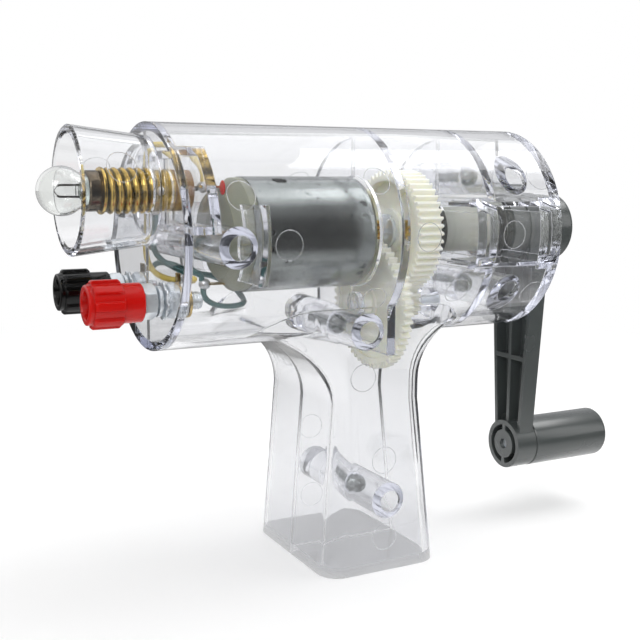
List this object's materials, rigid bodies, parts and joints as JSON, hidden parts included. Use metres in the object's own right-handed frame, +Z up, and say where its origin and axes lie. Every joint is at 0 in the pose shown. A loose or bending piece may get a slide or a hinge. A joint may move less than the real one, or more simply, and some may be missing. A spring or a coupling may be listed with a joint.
{
  "type": "hand crank generator",
  "caption": "Clear pistol-grip casing with a crank at the rear, spur gears, a small DC motor, a lamp in a flared shroud and red and black screw terminals",
  "frame": {"origin": "middle of the foot's underside, on the seam", "axes": "+X from the lamp towards the crank, +Y to the right-hand casing half, +Z up"},
  "size_m": [0.1615, 0.052, 0.108],
  "materials": {
    "clear_plastic": "clear colourless moulding, polished",
    "zinc_steel": "zinc-plated steel",
    "magnet": "sintered ferrite",
    "end_cap_plastic": "grey-beige moulding",
    "brass": "rolled brass",
    "bronze": "sintered bronze",
    "copper": "copper",
    "lamination": "stacked steel sheets",
    "polished_steel": "ground steel",
    "nylon": "cream nylon",
    "grey_plastic": "mid-grey moulding",
    "shaft_plastic": "grey moulding",
    "black_plastic": "black moulding",
    "red_plastic": "red moulding",
    "bulb_glass": "clear glass",
    "stem_glass": "grey glass",
    "dark_metal": "darkened brass",
    "lead_wire": "nickel wire",
    "phenolic": "brown phenolic",
    "solder": "soft solder",
    "teal_insulation": "teal insulation",
    "yellow_insulation": "yellow insulation"
  },
  "bodies": {
    "casing": {"casing_left": "clear_plastic", "casing_right": "clear_plastic", "casing_screws": "zinc_steel", "motor_can": "zinc_steel", "motor_magnets": "magnet", "motor_end_cap": "end_cap_plastic", "motor_terminals": "brass", "motor_bushes": "bronze", "lay_axle": "polished_steel", "lamp_socket": "brass", "socket_insulator": "phenolic", "socket_contact": "brass", "terminal_posts": "polished_steel", "terminal_nuts": "zinc_steel", "lock_washers": "zinc_steel", "solder_tags": "brass", "wire_teal": "teal_insulation", "wire_yellow": "yellow_insulation", "wire_lamp": "teal_insulation", "wire_jumper": "lead_wire", "solder_joints": "solder"},
    "crank": {"crank_gear": "nylon", "crank_shaft": "shaft_plastic", "shaft_washers": "black_plastic", "gear_screw": "polished_steel", "crank_arm": "grey_plastic", "handle_pin": "polished_steel"},
    "handle_body": {"handle": "grey_plastic"},
    "lay_shaft": {"lay_gear": "nylon"},
    "rotor": {"armature": "lamination", "armature_windings": "copper", "commutator": "copper", "motor_shaft": "polished_steel", "motor_pinion": "brass"},
    "bulb": {"bulb_glass": "bulb_glass", "bulb_stem": "stem_glass", "bulb_filament": "lead_wire", "bulb_base": "dark_metal", "bulb_contact": "solder"},
    "red_terminal_cap": {"red_cap": "red_plastic"},
    "black_terminal_cap": {"black_cap": "black_plastic"}
  },
  "joints": [
    {"name": "crank_turn", "type": "hinge", "parent": "casing", "child": "crank", "pos_m": [0.0273, 0, 0.082], "axis": [1, 0, 0], "continuous": true},
    {"name": "handle_spin", "type": "hinge", "parent": "crank", "child": "handle_body", "pos_m": [0.0587, 0, 0.0205], "axis": [1, 0, 0], "continuous": true},
    {"name": "lay_spin", "type": "hinge", "parent": "casing", "child": "lay_shaft", "pos_m": [0.0073, 0, 0.0634], "axis": [1, 0, 0], "continuous": true},
    {"name": "rotor_spin", "type": "hinge", "parent": "casing", "child": "rotor", "pos_m": [-0.0127, 0, 0.082], "axis": [1, 0, 0], "continuous": true},
    {"name": "bulb_out", "type": "slide", "parent": "casing", "child": "bulb", "axis": [-1, 0, 0], "range_m": [0, 0.0105]},
    {"name": "red_cap_open", "type": "slide", "parent": "casing", "child": "red_terminal_cap", "axis": [-1, 0, 0], "range_m": [0, 0.003]},
    {"name": "black_cap_open", "type": "slide", "parent": "casing", "child": "black_terminal_cap", "axis": [-1, 0, 0], "range_m": [0, 0.003]}
  ],
  "couplings": [
    {"joint": "lay_spin", "follows": "crank_turn", "ratio": -4.1667},
    {"joint": "rotor_spin", "follows": "crank_turn", "ratio": 28.125}
  ]
}
